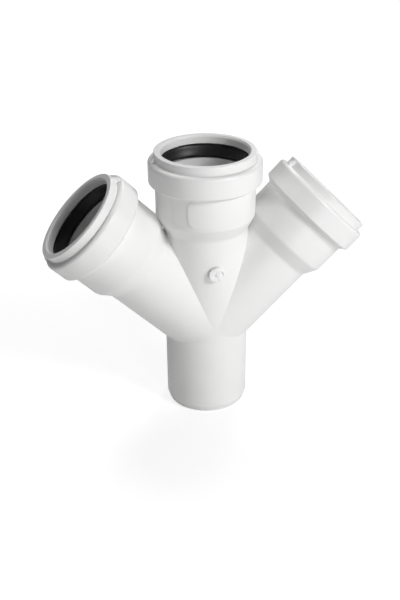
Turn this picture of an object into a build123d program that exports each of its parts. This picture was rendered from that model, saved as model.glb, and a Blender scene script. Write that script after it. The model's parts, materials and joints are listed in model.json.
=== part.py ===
"""Lateral wye fitting for push-fit waste pipe: a double 45 degree branch.

One moulded body has a spigot at the bottom, a socket in line with it at the top and two branch sockets, all in one
plane. A rubber ring seats in the groove of each socket. The origin is the centre of the spigot's end, +Z runs up
the run and the branches lean towards -X and +X. Sizes are in millimetres.
"""

import os
from math import cos, radians, sin

from build123d import *

# Pipe that the fitting joins
pipe_radius = 25.0
pipe_wall = 3.0
push_clearance = 0.3  # between a pipe and the bore that it is pushed into

# Where the axes cross, and how far the sockets reach from there
crossing_height = 56.0
run_reach = 107.0
branch_reach = 106.0
branch_angle = 45.0

# Spigot, and the tubes that it opens into, which are slightly slimmer
lead_in_length = 3.7
lead_in_depth = 1.2
spigot_length = 45.0
tube_relief = 0.3
tube_relief_length = 5.0

# Socket, with depths counted from its mouth
insertion_depth = 38.0
socket_wall = 3.7
stop_ledge = 1.8  # flat part of the pipe stop
stop_slope = 2.0
taper_start_gap = 2.0  # the outside starts to narrow this far before the pipe stop
taper_length = 6.4
taper_round = 7.0

# Lip at the mouth
lip_length = 4.8
lip_wall = 3.9
lip_round = 0.5
mouth_lead_in_depth = 0.8
mouth_lead_in_length = 1.1

# Collar around the seal
collar_length = 12.6  # from the foot of the lip to where the underside turns in
collar_wall = 3.5
collar_underside = 2.6
collar_top_round = 2.2
collar_bottom_round = 0.8

# Seal groove
groove_start_depth = 5.0
groove_slope = 1.8  # drop of its upper side from the bore to the bottom of the groove
groove_width = 9.2
groove_depth = 3.9
groove_round = 0.5

# Two webs that back the lip, on the parting plane
web_width = 3.2
web_start_depth = 0.6
web_knee_depth = 3.6
web_knee_reach = 2.3  # out from the lip
web_knee_round = 3.0
web_foot_depth = 7.0
web_foot_reach = 3.0

# Rubber ring, drawn as a pushed-in pipe leaves it
seal_gap = 0.1  # to the groove's walls and to the pipe
seal_head_room = 2.1  # space above the ring in its groove
seal_crown = 2.8  # solid part of the ring, above the slot that lets its lip bend back
seal_slot_width = 0.8
seal_lead_in_depth = 1.2
seal_lead_in_length = 2.0

# Boss left by the mould's gate, on the front of the run
gate_height = 97.0
gate_radius = 4.5
gate_rise = 1.3
gate_round = 0.3

bore_radius = pipe_radius + push_clearance
waterway_radius = pipe_radius - pipe_wall
tube_radius = pipe_radius - tube_relief
socket_radius = bore_radius + socket_wall
lip_radius = bore_radius + lip_wall
groove_radius = bore_radius + groove_depth
collar_radius = groove_radius + collar_wall
groove_end_depth = groove_start_depth + groove_width
collar_end_depth = lip_length + collar_length
taper_start_depth = insertion_depth - taper_start_gap

# Lean of each socket's axis from the run, and its reach from the crossing
sockets = {
    "run": (0.0, run_reach),
    "left": (-branch_angle, branch_reach),
    "right": (branch_angle, branch_reach),
}


def section_plane(lean, distance=0.0):
    """Plane through a socket's axis: x is the radius, and y runs outwards from a distance past the crossing."""
    turn = radians(lean)
    return Plane(
        origin=(distance * sin(turn), 0, crossing_height + distance * cos(turn)),
        x_dir=(cos(turn), 0, -sin(turn)),
        z_dir=(0, -1, 0),
    )


def outward_axis(plane):
    """Axis of the socket that a section plane belongs to."""
    return Axis(plane.origin, plane.y_dir)


def half_section(corners):
    """Face of a half section, from the radius, the height and the rounding of each corner."""
    with BuildLine() as outline:
        FilletPolyline(
            *[(radius, height) for radius, height, _ in corners],
            radius=[rounding for _, _, rounding in corners],
            close=True,
        )
    make_face(outline.edges())


# Webs of one socket, with their origin at the mouth and +Z outwards
with BuildPart() as lip_webs:
    with BuildSketch(Plane.XZ):
        half_section([
            (lip_radius - lip_wall / 2, -web_foot_depth, 0),
            (lip_radius + web_foot_reach, -web_foot_depth, 0),
            (lip_radius + web_knee_reach, -web_knee_depth, web_knee_round),
            (lip_radius, -web_start_depth, 0),
            (lip_radius - lip_wall / 2, -web_start_depth, 0),
        ])
    revolve(axis=Axis.Z)
    Box(2 * collar_radius, web_width, 2 * web_foot_depth, mode=Mode.INTERSECT)

with BuildPart() as fitting_body:
    # Outside of the spigot, up to the crossing
    with BuildSketch(Plane.XZ):
        half_section([
            (0, 0, 0),
            (pipe_radius - lead_in_depth, 0, 0),
            (pipe_radius, lead_in_length, 0),
            (pipe_radius, spigot_length, 0),
            (tube_radius, spigot_length + tube_relief_length, 0),
            (tube_radius, crossing_height, 0),
            (0, crossing_height, 0),
        ])
    revolve(axis=Axis.Z)

    # Outside of each socket and of the tube behind it, and its webs
    for lean, reach in sockets.values():
        plane = section_plane(lean)
        with BuildSketch(plane):
            half_section([
                (0, 0, 0),
                (tube_radius, 0, 0),
                (tube_radius, reach - taper_start_depth - taper_length, taper_round),
                (socket_radius, reach - taper_start_depth, taper_round),
                (socket_radius, reach - collar_end_depth - collar_underside, 0),
                (collar_radius, reach - collar_end_depth, collar_bottom_round),
                (collar_radius, reach - lip_length, collar_top_round),
                (lip_radius, reach - lip_length, 0),
                (lip_radius, reach, lip_round),
                (0, reach, 0),
            ])
        revolve(axis=outward_axis(plane))
        mouth = section_plane(lean, reach)
        with Locations(Plane(mouth.origin, x_dir=mouth.x_dir, z_dir=mouth.y_dir)):
            add(lip_webs.part)

    # Boss left by the gate
    with BuildSketch(Plane.XZ.offset(waterway_radius + pipe_wall / 2)):
        with Locations((0, gate_height)):
            Circle(gate_radius)
    extrude(amount=pipe_wall / 2 + gate_rise)
    fillet(fitting_body.faces(Select.LAST).sort_by(Axis.Y)[0].edges(), gate_round)

    # Waterway of the spigot
    with BuildSketch(Plane.XZ):
        with Locations((waterway_radius / 2, crossing_height / 2)):
            Rectangle(waterway_radius, crossing_height)
    revolve(axis=Axis.Z, mode=Mode.SUBTRACT)

    # Waterway, pipe stop, bore, seal groove and mouth of each socket
    for lean, reach in sockets.values():
        plane = section_plane(lean)
        with BuildSketch(plane):
            half_section([
                (0, 0, 0),
                (waterway_radius, 0, 0),
                (waterway_radius, reach - insertion_depth - stop_slope, 0),
                (bore_radius - stop_ledge, reach - insertion_depth, 0),
                (bore_radius, reach - insertion_depth, 0),
                (bore_radius, reach - groove_end_depth, 0),
                (groove_radius, reach - groove_end_depth, groove_round),
                (groove_radius, reach - groove_start_depth - groove_slope, groove_round),
                (bore_radius, reach - groove_start_depth, 0),
                (bore_radius, reach - mouth_lead_in_length, 0),
                (bore_radius + mouth_lead_in_depth, reach, 0),
                (0, reach, 0),
            ])
        revolve(axis=outward_axis(plane), mode=Mode.SUBTRACT)
fitting_body.part.label = "fitting_body"

os.makedirs("parts", exist_ok=True)
export_step(fitting_body.part, "parts/fitting_body.step")

# Rubber ring of each socket, seated on the inner side of its groove
seal_inner = pipe_radius + seal_gap
seal_outer = groove_radius - seal_gap
seal_length = groove_width - seal_gap - seal_head_room
seal_leaf = (seal_outer - seal_inner - seal_slot_width) / 2  # thickness of its lip and of its back
seal_round = min(groove_round, seal_leaf / 2)

for name, (lean, reach) in sockets.items():
    foot = section_plane(lean, reach - groove_end_depth + seal_gap)
    with BuildPart() as seal:
        with BuildSketch(foot):
            half_section([
                (seal_inner, 0, 0),
                (seal_inner + seal_leaf, 0, seal_round),
                (seal_inner + seal_leaf, seal_length - seal_crown, 0),
                (seal_outer - seal_leaf, seal_length - seal_crown, 0),
                (seal_outer - seal_leaf, 0, 0),
                (seal_outer, 0, seal_round),
                (seal_outer, seal_length, seal_round),
                (seal_inner + seal_lead_in_depth, seal_length, seal_round),
                (seal_inner, seal_length - seal_lead_in_length, 0),
            ])
        revolve(axis=outward_axis(foot))
    seal.part.label = f"{name}_seal"
    export_step(seal.part, f"parts/{name}_seal.step")
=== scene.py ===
"""Looks of a lateral wye fitting: white moulded plastic and black rubber rings, on a plain pale stage."""

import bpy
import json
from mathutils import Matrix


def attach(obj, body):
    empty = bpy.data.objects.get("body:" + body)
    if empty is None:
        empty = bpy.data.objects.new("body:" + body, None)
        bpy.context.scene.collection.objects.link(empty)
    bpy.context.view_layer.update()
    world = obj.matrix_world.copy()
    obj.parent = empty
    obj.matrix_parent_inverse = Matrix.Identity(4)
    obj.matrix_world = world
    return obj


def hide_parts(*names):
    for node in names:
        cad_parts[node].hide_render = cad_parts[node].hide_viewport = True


bl_info = {
    "name": "Lateral wye fitting",
    "version": (1, 0, 0),
    "blender": (4, 5, 0),
    "location": "View3D > Sidebar > Wye fitting",
    "description": "Dresses a push-fit drain fitting in moulded plastic and rubber",
    "category": "Object",
}

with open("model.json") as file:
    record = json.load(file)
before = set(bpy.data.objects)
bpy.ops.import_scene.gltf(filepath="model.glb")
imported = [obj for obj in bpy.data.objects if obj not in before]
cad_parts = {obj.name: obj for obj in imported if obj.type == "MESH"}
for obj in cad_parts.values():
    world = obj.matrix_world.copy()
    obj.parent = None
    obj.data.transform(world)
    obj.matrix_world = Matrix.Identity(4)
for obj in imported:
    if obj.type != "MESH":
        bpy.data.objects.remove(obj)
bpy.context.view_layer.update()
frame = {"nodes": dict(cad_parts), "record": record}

import json
import math

import bmesh
import bpy
from bpy.props import FloatProperty, FloatVectorProperty, IntProperty, PointerProperty
from bpy.types import Operator, Panel, PropertyGroup
from mathutils import Matrix, Vector, noise

MM = 0.001
BODY = "root"
BODY_NODE = "fitting_body"
SOCKETS = ("run", "left", "right")

# Outside of a socket, and of the tube behind it
SOCKET_RADIUS = 29.0 * MM
TUBE_RADIUS = 24.7 * MM

# Fineness of the meshes: steps round a turned piece and in a bend, and the least angle of an edge that stays crisp
ROUND_STEPS = 160
BEND_STEPS = 8
SHARP_ANGLE = math.radians(40.0)

# Lamps round the fitting: degrees from its front towards +X, and degrees above the floor
LAMPS = {"key": (40.0, 35.0), "front": (10.0, 8.0), "rim": (150.0, 35.0), "top": (-150.0, 60.0)}
LAMP_SIZE = 0.35
LAMP_DISTANCE = 1.3
LAMP_AIM = Vector((0.0, 0.0, 0.08))

# Floor: its tone as it lights the fitting, and to the eye the share of light that it shows and its own glow, which
# rises to full white a metre away
FLOOR_HALF = 3.0
FLOOR_TONE = 0.8
FLOOR_SHARE = 0.35
FLOOR_GLOW = 0.72


# ---------------------------------------------------------------- the frame


def socket_mount(socket):
    """The record's mount of a socket."""
    return next(m for m in frame["record"]["mounts"] if m["name"] == f"{socket}_socket")


def socket_frame(socket):
    """Frame of a socket: origin at the middle of its wall, Z out of its mouth and Y across the branches."""
    out = Vector(socket_mount(socket)["axis"])
    across = Vector((0.0, 1.0, 0.0))
    side = across.cross(out)
    turn = Matrix((side, across, out)).transposed().to_4x4()
    return Matrix.Translation(socket_mount(socket)["pos_m"]) @ turn


def extents(name, place):
    """Least and greatest radius, and least and greatest height, of a CAD node in a socket's frame."""
    back = place.inverted()
    points = [back @ vertex.co for vertex in frame["nodes"][name].data.vertices]
    radii = [math.hypot(point.x, point.y) for point in points]
    heights = [point.z for point in points]
    return min(radii), max(radii), min(heights), max(heights)


# ---------------------------------------------------------------- meshes


def mesh_piece(name, mesh, material):
    """An object of the fitting from a bmesh, riding on the body."""
    data = bpy.data.meshes.new(name)
    bmesh.ops.recalc_face_normals(mesh, faces=mesh.faces)
    mesh.to_mesh(data)
    mesh.free()
    data.shade_smooth()
    data.set_sharp_from_angle(angle=SHARP_ANGLE)
    data.materials.append(material)
    piece = bpy.data.objects.new(name, data)
    bpy.context.scene.collection.objects.link(piece)
    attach(piece, BODY)
    return piece


def lathe(profile, place, segments):
    """A closed profile of (radius, height) points, turned about the Z axis of a frame."""
    mesh = bmesh.new()
    rings = []
    for step in range(segments):
        turn = math.tau * step / segments
        rings.append([
            mesh.verts.new(place @ Vector((radius * math.cos(turn), radius * math.sin(turn), height)))
            for radius, height in profile
        ])
    count = len(profile)
    for step, ring in enumerate(rings):
        following = rings[(step + 1) % segments]
        for index in range(count):
            after = (index + 1) % count
            mesh.faces.new((ring[index], following[index], following[after], ring[after]))
    return mesh


def stitch(mesh, rings, middle):
    """Faces from each closed ring of vertices to the next, and from the last one in to a middle vertex."""
    last = rings[-1]
    count = len(last)
    for lower, upper in zip(rings, rings[1:]):
        for index in range(count):
            after = (index + 1) % count
            mesh.faces.new((lower[index], lower[after], upper[after], upper[index]))
    for index in range(count):
        mesh.faces.new((last[index], last[(index + 1) % count], middle))


def rounded_corners(corners, steps):
    """Profile through (radius, height, rounding) corners, with an arc at each corner that has a rounding."""
    profile = []
    for index, (*here, rounding) in enumerate(corners):
        here = Vector(here)
        if not rounding:
            profile.append(here)
            continue
        before = (Vector(corners[index - 1][:2]) - here).normalized()
        after = (Vector(corners[(index + 1) % len(corners)][:2]) - here).normalized()
        half = before.angle(after) / 2
        centre = here + (before + after).normalized() * rounding / math.sin(half)
        start = here + before * rounding / math.tan(half) - centre
        sweep = start.angle_signed(here + after * rounding / math.tan(half) - centre)
        for step in range(steps + 1):
            spoke = start.copy()
            spoke.rotate(Matrix.Rotation(-sweep * step / steps, 2))
            profile.append(centre + spoke)
    return profile


def rounded_outline(width, height, corner, steps):
    """Points round a rectangle with rounded corners, about its middle, as many on each side as on each corner."""
    points = []
    for quarter in range(4):
        turn = math.pi / 2 * quarter
        across, up = (width, height) if quarter % 2 == 0 else (height, width)
        ahead = Vector((across / 2 - corner, up / 2 - corner))
        for step in range(steps):
            angle = math.pi / 2 * step / steps
            points.append(Matrix.Rotation(turn, 2) @ (ahead + corner * Vector((math.cos(angle), math.sin(angle)))))
        for step in range(steps):
            side = Vector((ahead.x * (1 - 2 * step / steps), up / 2))
            points.append(Matrix.Rotation(turn, 2) @ side)
    return points


# ---------------------------------------------------------------- materials


def node(tree, kind, **inputs):
    """A shader node with some of its inputs set."""
    made = tree.nodes.new(kind)
    for name, value in inputs.items():
        made.inputs[name.replace("_", " ")].default_value = value
    return made


def group_socket(group, name, way, kind, value=None):
    """A named input or output of a node group."""
    made = group.interface.new_socket(name=name, in_out=way, socket_type=kind)
    if value is not None:
        made.default_value = value


def mapped(tree, source, low, high):
    """A 0 to 1 output stretched to run from low to high, each a number or another output."""
    made = tree.nodes.new("ShaderNodeMapRange")
    tree.links.new(source, made.inputs["Value"])
    for name, value in (("To Min", low), ("To Max", high)):
        if isinstance(value, (int, float)):
            made.inputs[name].default_value = value
        else:
            tree.links.new(value, made.inputs[name])
    return made.outputs["Result"]


def moulded_skin_group():
    """Surface of a moulding: soft cloudy tone, uneven gloss and a faint ripple, all in object space."""
    group = bpy.data.node_groups.new("moulded_skin", "ShaderNodeTree")
    group_socket(group, "Colour", "INPUT", "NodeSocketColor", (0.8, 0.8, 0.8, 1.0))
    group_socket(group, "Cloud Size", "INPUT", "NodeSocketFloat", 60.0)
    group_socket(group, "Cloud Depth", "INPUT", "NodeSocketFloat", 0.04)
    group_socket(group, "Gloss Low", "INPUT", "NodeSocketFloat", 0.35)
    group_socket(group, "Gloss High", "INPUT", "NodeSocketFloat", 0.5)
    group_socket(group, "Grain Size", "INPUT", "NodeSocketFloat", 1400.0)
    group_socket(group, "Colour", "OUTPUT", "NodeSocketColor")
    group_socket(group, "Roughness", "OUTPUT", "NodeSocketFloat")
    group_socket(group, "Height", "OUTPUT", "NodeSocketFloat")
    link = group.links.new
    given = group.nodes.new("NodeGroupInput")
    result = group.nodes.new("NodeGroupOutput")
    place = group.nodes.new("ShaderNodeTexCoord")

    cloud = node(group, "ShaderNodeTexNoise", Detail=3.0, Roughness=0.55)
    link(place.outputs["Object"], cloud.inputs["Vector"])
    link(given.outputs["Cloud Size"], cloud.inputs["Scale"])
    shade = group.nodes.new("ShaderNodeMath")
    shade.operation = "MULTIPLY"
    link(given.outputs["Cloud Depth"], shade.inputs[0])
    link(cloud.outputs["Fac"], shade.inputs[1])
    keep = group.nodes.new("ShaderNodeMath")
    keep.operation = "SUBTRACT"
    keep.inputs[0].default_value = 1.0
    link(shade.outputs[0], keep.inputs[1])
    tint = group.nodes.new("ShaderNodeVectorMath")
    tint.operation = "SCALE"
    link(given.outputs["Colour"], tint.inputs[0])
    link(keep.outputs[0], tint.inputs["Scale"])
    link(tint.outputs["Vector"], result.inputs["Colour"])

    grain = node(group, "ShaderNodeTexNoise", Detail=4.0, Roughness=0.6)
    link(place.outputs["Object"], grain.inputs["Vector"])
    link(given.outputs["Grain Size"], grain.inputs["Scale"])
    gloss = mapped(group, cloud.outputs["Fac"], given.outputs["Gloss Low"], given.outputs["Gloss High"])
    link(gloss, result.inputs["Roughness"])
    link(grain.outputs["Fac"], result.inputs["Height"])
    return group


def skin_material(name, colour, cloud, gloss, grain, bump, ior):
    """A moulded material: its cloud and gloss are pairs of values, and bump is the depth of its grain in metres."""
    material = bpy.data.materials.new(name)
    material.use_nodes = True
    tree = material.node_tree
    shader = tree.nodes["Principled BSDF"]
    shader.inputs["IOR"].default_value = ior
    skin = tree.nodes.new("ShaderNodeGroup")
    skin.node_tree = bpy.data.node_groups.get("moulded_skin") or moulded_skin_group()
    skin.inputs["Colour"].default_value = (*colour, 1.0)
    skin.inputs["Cloud Size"].default_value, skin.inputs["Cloud Depth"].default_value = cloud
    skin.inputs["Gloss Low"].default_value, skin.inputs["Gloss High"].default_value = gloss
    skin.inputs["Grain Size"].default_value = grain
    tree.links.new(skin.outputs["Colour"], shader.inputs["Base Color"])
    tree.links.new(skin.outputs["Roughness"], shader.inputs["Roughness"])
    relief = node(tree, "ShaderNodeBump", Distance=bump, Strength=1.0)
    tree.links.new(skin.outputs["Height"], relief.inputs["Height"])
    tree.links.new(relief.outputs["Normal"], shader.inputs["Normal"])
    return material


def plastic(settings):
    """White moulded polypropylene of the body."""
    return bpy.data.materials.get("white_plastic") or skin_material(
        "white_plastic", settings.colour, cloud=(60.0, settings.cloud),
        gloss=(settings.gloss - 0.05, settings.gloss + 0.07), grain=900.0, bump=0.02 * MM, ior=1.49,
    )


def rubber(settings):
    """Black rubber of the rings."""
    return bpy.data.materials.get("black_rubber") or skin_material(
        "black_rubber", settings.colour, cloud=(90.0, settings.cloud),
        gloss=(settings.gloss - 0.06, settings.gloss + 0.06), grain=1500.0, bump=0.03 * MM, ior=1.52,
    )


# ---------------------------------------------------------------- settings


class WyePlasticSettings(PropertyGroup):
    """Finish of the moulded body."""

    colour: FloatVectorProperty(
        name="Colour", description="Colour of the plastic", subtype="COLOR", size=3, default=(0.82, 0.82, 0.815)
    )
    cloud: FloatProperty(name="Cloud", description="Depth of the cloudy tone", default=0.05, min=0.0, max=1.0)
    gloss: FloatProperty(name="Roughness", description="Middle roughness", default=0.38, min=0.0, max=1.0)


class WyeSealSettings(PropertyGroup):
    """Shape and finish of the rubber rings."""

    colour: FloatVectorProperty(
        name="Colour", description="Colour of the rubber", subtype="COLOR", size=3, default=(0.012, 0.012, 0.013)
    )
    cloud: FloatProperty(name="Cloud", description="Depth of the cloudy tone", default=0.3, min=0.0, max=1.0)
    gloss: FloatProperty(name="Roughness", description="Middle roughness", default=0.42, min=0.0, max=1.0)
    lip_reach: FloatProperty(
        name="Lip reach", description="How far the free lip stands inside a pushed-in pipe's surface",
        default=1.0 * MM, unit="LENGTH",
    )
    lip_height: FloatProperty(
        name="Lip height", description="Height of the free lip's tip above the ring's foot", default=1.7 * MM,
        unit="LENGTH",
    )
    segments: IntProperty(name="Segments", description="Steps round each ring", default=ROUND_STEPS, min=24)


class WyeShoulderSettings(PropertyGroup):
    """Long shoulders where the sockets narrow to their tubes."""

    length: FloatProperty(name="Length", description="From the pipe stop to the tube", default=8.0 * MM, unit="LENGTH")
    rounding: FloatProperty(name="Rounding", description="Radius of both bends", default=5.0 * MM, unit="LENGTH")
    overlap: FloatProperty(
        name="Overlap", description="How far the shoulder runs on along the socket and the tube", default=4.0 * MM,
        unit="LENGTH",
    )
    proud: FloatProperty(
        name="Proud", description="How far it lies over the surface below it", default=0.02 * MM, unit="LENGTH"
    )
    depth: FloatProperty(name="Depth", description="How deep it sits in the wall", default=0.8 * MM, unit="LENGTH")


class WyePadSettings(PropertyGroup):
    """Bare raised pad on the front of the run socket."""

    width: FloatProperty(name="Width", description="Width round the socket", default=34.0 * MM, unit="LENGTH")
    height: FloatProperty(name="Height", description="Height below the collar", default=17.5 * MM, unit="LENGTH")
    corner: FloatProperty(name="Corner", description="Radius of its corners", default=6.0 * MM, unit="LENGTH")
    rise: FloatProperty(name="Rise", description="How proud its sides stand", default=0.4 * MM, unit="LENGTH")
    crown: FloatProperty(name="Crown", description="How proud its middle stands", default=0.12 * MM, unit="LENGTH")
    middle: FloatProperty(
        name="Middle", description="Height of its middle above the floor", default=135.5 * MM, unit="LENGTH"
    )


class WyeGateSettings(PropertyGroup):
    """Rough cut face of the gate's stub, on its boss on the front of the run."""

    height: FloatProperty(
        name="Height", description="Height of its middle above the floor", default=97.0 * MM, unit="LENGTH"
    )
    reach: FloatProperty(
        name="Reach", description="From the run's axis to the boss's face", default=26.3 * MM, unit="LENGTH"
    )
    radius: FloatProperty(name="Radius", description="Radius of the stub", default=4.4 * MM, unit="LENGTH")
    rise: FloatProperty(name="Rise", description="How proud of its boss it stands", default=1.0 * MM, unit="LENGTH")
    tear: FloatProperty(name="Tear", description="Depth of the torn places", default=0.5 * MM, unit="LENGTH")
    grain: FloatProperty(name="Grain", description="Width of the torn places", default=2.2 * MM, unit="LENGTH")


class WyeStageSettings(PropertyGroup):
    """Camera, lamps and backdrop."""

    azimuth: FloatProperty(name="Azimuth", description="Camera's turn round the fitting", default=-12.748)
    elevation: FloatProperty(name="Elevation", description="Camera's height angle", default=29.218)
    roll: FloatProperty(name="Roll", description="Camera's roll", default=-0.571)
    distance: FloatProperty(name="Distance", description="Camera to its target", default=0.546, unit="LENGTH")
    lens: FloatProperty(name="Lens", description="Focal length in millimetres", default=53.37)
    target: FloatVectorProperty(
        name="Target", description="Point that the camera looks at", size=3, default=(-0.00363, 0.00082, 0.06634),
        subtype="XYZ", unit="LENGTH",
    )
    key: FloatProperty(name="Key", description="Power of the key lamp in watts", default=9.5, min=0.0)
    front: FloatProperty(name="Front", description="Power of the low front lamp in watts", default=5.1, min=0.0)
    rim: FloatProperty(name="Rim", description="Power of the lamp behind in watts", default=4.2, min=0.0)
    top: FloatProperty(name="Top", description="Power of the high lamp in watts", default=6.0, min=0.0)
    ambient: FloatProperty(name="Ambient", description="Brightness of the surroundings", default=0.07, min=0.0)


# ---------------------------------------------------------------- operators


class WYE_OT_body(Operator):
    """Give the moulded body its plastic"""

    bl_idname = "wye.body"
    bl_label = "Dress the body"

    def execute(self, context):
        body = frame["nodes"][BODY_NODE]
        body.data.materials.clear()
        body.data.materials.append(plastic(context.scene.wye_plastic))
        return {"FINISHED"}


class WYE_OT_seals(Operator):
    """Make the rubber rings with their lips relaxed, as in empty sockets"""

    bl_idname = "wye.seals"
    bl_label = "Make the rubber rings"

    def execute(self, context):
        settings = context.scene.wye_seals
        for socket in SOCKETS:
            place = socket_frame(socket)
            inner, outer, foot, crown = extents(f"{socket}_seal", place)
            tip = inner - settings.lip_reach
            hang = foot + settings.lip_height

            # Round the section: up the back, over the top, down the free lip, into the slot behind it, along the base
            back = [(outer, foot + 0.5 * MM), (outer, crown - 0.5 * MM), (outer - 0.5 * MM, crown)]
            top = [
                (inner + 1.7 * MM, crown + 0.9 * MM),
                (inner + 1.1 * MM, crown + 0.75 * MM),
                (inner + 0.7 * MM, crown + 0.2 * MM),
                (inner + 0.2 * MM, crown - 1.8 * MM),
            ]
            lip = [
                (tip + 0.3 * MM, hang + 1.4 * MM),
                (tip, hang + 0.4 * MM),
                (tip + 0.1 * MM, hang),
                (tip + 0.6 * MM, hang + 0.1 * MM),
            ]
            slot = [
                (inner + 0.9 * MM, foot + 4.2 * MM),
                (inner + 1.5 * MM, foot + 4.8 * MM),
                (inner + 2.2 * MM, foot + 4.4 * MM),
                (inner + 2.5 * MM, foot + 0.5 * MM),
            ]
            base = [(inner + 2.9 * MM, foot), (outer - 0.5 * MM, foot)]
            mesh = lathe([*back, *top, *lip, *slot, *base], place, settings.segments)
            ring = mesh_piece(f"{socket}_lip_seal", mesh, rubber(settings))
            smooth = ring.modifiers.new("smooth", "SUBSURF")
            smooth.levels = smooth.render_levels = 2
            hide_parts(f"{socket}_seal")
        return {"FINISHED"}


class WYE_OT_shoulders(Operator):
    """Make the shoulders where the sockets narrow to their tubes"""

    bl_idname = "wye.shoulders"
    bl_label = "Make the shoulders"

    def execute(self, context):
        settings = context.scene.wye_shoulders
        for socket in SOCKETS:
            stop = -socket_mount(socket)["dims"]["length_mm"] / 2 * MM
            foot = stop - settings.length
            wide, slim = SOCKET_RADIUS + settings.proud, TUBE_RADIUS + settings.proud
            profile = rounded_corners([
                (wide - settings.depth, stop + settings.overlap, 0),
                (wide, stop + settings.overlap, 0),
                (wide, stop, settings.rounding),
                (slim, foot, settings.rounding),
                (slim, foot - settings.overlap, 0),
                (slim - settings.depth, foot - settings.overlap, 0),
                (slim - settings.depth, foot, 0),
                (wide - settings.depth, stop, 0),
            ], BEND_STEPS)
            mesh = lathe(profile, socket_frame(socket), ROUND_STEPS)
            mesh_piece(f"{socket}_shoulder", mesh, plastic(context.scene.wye_plastic))
        return {"FINISHED"}


class WYE_OT_pad(Operator):
    """Make the bare raised pad on the front of the run socket"""

    bl_idname = "wye.pad"
    bl_label = "Make the pad"

    def execute(self, context):
        settings = context.scene.wye_pad
        outline = rounded_outline(settings.width, settings.height, settings.corner, steps=10)
        mesh = bmesh.new()

        def on_wall(across, up, share):
            """Vertex at a place on the pad, at a share of how proud the pad stands there."""
            turn = across / SOCKET_RADIUS
            flatness = (across / (settings.width / 2)) ** 2
            proud = settings.crown + (settings.rise - settings.crown) * flatness
            radius = SOCKET_RADIUS + proud * share
            return mesh.verts.new((radius * math.sin(turn), -radius * math.cos(turn), settings.middle + up))

        # From the foot of the pad's edge, over its rounded rim and in to its middle: share of its size, and of its rise
        levels = [(1.0, -0.5), (1.0, 0.4), (0.996, 0.75), (0.985, 0.95)]
        levels += [(size / 10, 1.0) for size in (9.5, 9, 8, 7, 6, 5, 4, 3, 2, 1)]
        rings = [[on_wall(across * size, up * size, share) for across, up in outline] for size, share in levels]
        stitch(mesh, rings, on_wall(0.0, 0.0, 1.0))
        mesh_piece("socket_pad", mesh, plastic(context.scene.wye_plastic))
        return {"FINISHED"}


class WYE_OT_gate(Operator):
    """Make the rough cut face of the gate's stub"""

    bl_idname = "wye.gate"
    bl_label = "Make the gate's stub"

    def execute(self, context):
        settings = context.scene.wye_gate
        mesh = bmesh.new()

        def on_face(share, turn, proud):
            """Vertex at a share of the radius, torn where the noise is low, unless it lies inside the boss."""
            across, up = math.cos(turn) * share, math.sin(turn) * share
            place = Vector((across, up, 0.0)) * settings.radius
            torn = min(0.0, noise.noise(place / settings.grain)) * settings.tear * 2
            depth = settings.reach + proud + (torn if proud > 0 else 0.0)
            return mesh.verts.new((place.x, -depth, settings.height + place.y))

        steps = 72
        turns = [math.tau * step / steps for step in range(steps)]
        # From inside the boss, up the stub's side and in to its middle: share of its radius, and rise
        levels = [(1.0, -0.5 * MM), (1.0, settings.rise * 0.8), (0.95, settings.rise)]
        levels += [(share / 10, settings.rise) for share in range(9, 0, -1)]
        rings = [[on_face(share, turn, proud) for turn in turns] for share, proud in levels]
        stitch(mesh, rings, on_face(0.0, 0.0, settings.rise))
        mesh_piece("gate_stub", mesh, plastic(context.scene.wye_plastic))
        return {"FINISHED"}


def way_to(azimuth, elevation):
    """Direction at degrees from the front towards +X, and degrees above the floor."""
    turn, rise = math.radians(azimuth), math.radians(elevation)
    return Vector((math.sin(turn) * math.cos(rise), -math.cos(turn) * math.cos(rise), math.sin(rise)))


def area_lamp(name, power, azimuth, elevation):
    """A soft square lamp that looks at the fitting."""
    lamp = bpy.data.lights.new(name, "AREA")
    lamp.energy = power
    lamp.size = LAMP_SIZE
    holder = bpy.data.objects.new(name, lamp)
    out = way_to(azimuth, elevation)
    holder.location = LAMP_AIM + LAMP_DISTANCE * out
    holder.rotation_euler = (-out).to_track_quat("-Z", "Y").to_euler()
    bpy.context.scene.collection.objects.link(holder)


def seen_by_camera(tree):
    """1 where a ray comes straight from the camera, and 0 elsewhere."""
    return tree.nodes.new("ShaderNodeLightPath").outputs["Is Camera Ray"]


def floor_paint():
    """Pale paint: grey as it lights the fitting, and to the eye white with a soft shadow."""
    paint = bpy.data.materials.new("pale_floor")
    paint.use_nodes = True
    tree = paint.node_tree
    tree.nodes.remove(tree.nodes["Principled BSDF"])
    grey = node(tree, "ShaderNodeBsdfDiffuse", Color=(FLOOR_TONE, FLOOR_TONE, FLOOR_TONE, 1.0))
    shaded = node(tree, "ShaderNodeBsdfDiffuse", Color=(FLOOR_SHARE, FLOOR_SHARE, FLOOR_SHARE, 1.0))
    glow = node(tree, "ShaderNodeEmission", Color=(1.0, 1.0, 1.0, 1.0))
    place = tree.nodes.new("ShaderNodeTexCoord")
    away = tree.nodes.new("ShaderNodeVectorMath")
    away.operation = "LENGTH"
    tree.links.new(place.outputs["Object"], away.inputs[0])
    tree.links.new(mapped(tree, away.outputs["Value"], FLOOR_GLOW, 1.0), glow.inputs["Strength"])
    white = tree.nodes.new("ShaderNodeAddShader")
    tree.links.new(shaded.outputs[0], white.inputs[0])
    tree.links.new(glow.outputs[0], white.inputs[1])
    pick = tree.nodes.new("ShaderNodeMixShader")
    tree.links.new(seen_by_camera(tree), pick.inputs[0])
    tree.links.new(grey.outputs[0], pick.inputs[1])
    tree.links.new(white.outputs[0], pick.inputs[2])
    tree.links.new(pick.outputs[0], tree.nodes["Material Output"].inputs["Surface"])
    return paint


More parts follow.
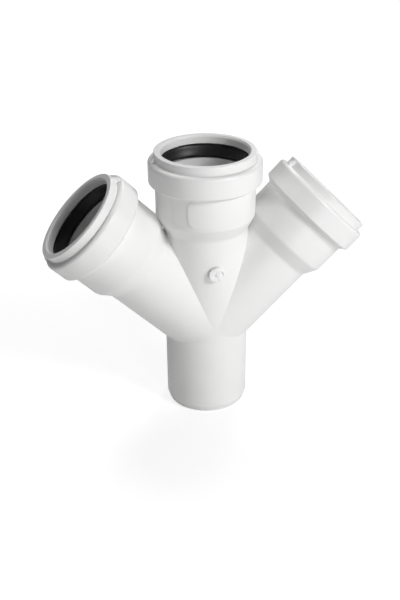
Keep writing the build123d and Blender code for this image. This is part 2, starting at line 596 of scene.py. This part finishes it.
class WYE_OT_stage(Operator):
    """Set the floor, the surroundings, the lamps and the camera"""

    bl_idname = "wye.stage"
    bl_label = "Set the stage"

    def execute(self, context):
        settings = context.scene.wye_stage
        scene = context.scene

        # Floor
        mesh = bmesh.new()
        corners = [(x * FLOOR_HALF, y * FLOOR_HALF, 0.0) for x, y in ((-1, -1), (1, -1), (1, 1), (-1, 1))]
        mesh.faces.new([mesh.verts.new(corner) for corner in corners])
        data = bpy.data.meshes.new("floor")
        mesh.to_mesh(data)
        mesh.free()
        data.materials.append(floor_paint())
        floor = bpy.data.objects.new("floor", data)
        scene.collection.objects.link(floor)

        # Surroundings: white to the eye, dimmer as a light
        world = bpy.data.worlds.new("surroundings")
        scene.world = world
        world.use_nodes = True
        tree = world.node_tree
        back = tree.nodes["Background"]
        back.inputs["Color"].default_value = (1.0, 1.0, 1.0, 1.0)
        strength = mapped(tree, seen_by_camera(tree), settings.ambient, 1.0)
        tree.links.new(strength, back.inputs["Strength"])

        # Lamps
        for name, (azimuth, elevation) in LAMPS.items():
            area_lamp(name, getattr(settings, name), azimuth, elevation)

        # Camera
        lens = bpy.data.cameras.new("camera")
        lens.sensor_fit = "VERTICAL"
        lens.sensor_height = 36.0
        lens.lens = settings.lens
        camera = bpy.data.objects.new("camera", lens)
        out = way_to(settings.azimuth, settings.elevation)
        look = (-out).to_track_quat("-Z", "Y").to_matrix().to_4x4()
        roll = Matrix.Rotation(math.radians(settings.roll), 4, "Z")
        camera.matrix_world = Matrix.Translation(Vector(settings.target) + settings.distance * out) @ look @ roll
        scene.collection.objects.link(camera)
        scene.camera = camera
        scene.view_settings.view_transform = "Standard"
        return {"FINISHED"}


class WYE_PT_panel(Panel):
    """Lists the steps that dress the fitting"""

    bl_idname = "WYE_PT_panel"
    bl_label = "Wye fitting"
    bl_space_type = "VIEW_3D"
    bl_region_type = "UI"
    bl_category = "Wye fitting"

    def draw(self, context):
        for step in STEPS:
            self.layout.operator(step.bl_idname)


SETTINGS = {
    "wye_plastic": WyePlasticSettings,
    "wye_seals": WyeSealSettings,
    "wye_shoulders": WyeShoulderSettings,
    "wye_pad": WyePadSettings,
    "wye_gate": WyeGateSettings,
    "wye_stage": WyeStageSettings,
}
STEPS = (WYE_OT_body, WYE_OT_seals, WYE_OT_shoulders, WYE_OT_pad, WYE_OT_gate, WYE_OT_stage)


def register():
    for kind in (*SETTINGS.values(), *STEPS, WYE_PT_panel):
        bpy.utils.register_class(kind)
    for name, kind in SETTINGS.items():
        setattr(bpy.types.Scene, name, PointerProperty(type=kind))


def unregister():
    for name in SETTINGS:
        delattr(bpy.types.Scene, name)
    for kind in (WYE_PT_panel, *reversed(STEPS), *reversed(list(SETTINGS.values()))):
        bpy.utils.unregister_class(kind)


def main():
    register()
    bpy.ops.wye.body()
    bpy.ops.wye.seals()
    bpy.ops.wye.shoulders()
    bpy.ops.wye.pad()
    bpy.ops.wye.gate()
    bpy.ops.wye.stage()


if __name__ == "__main__":
    main()
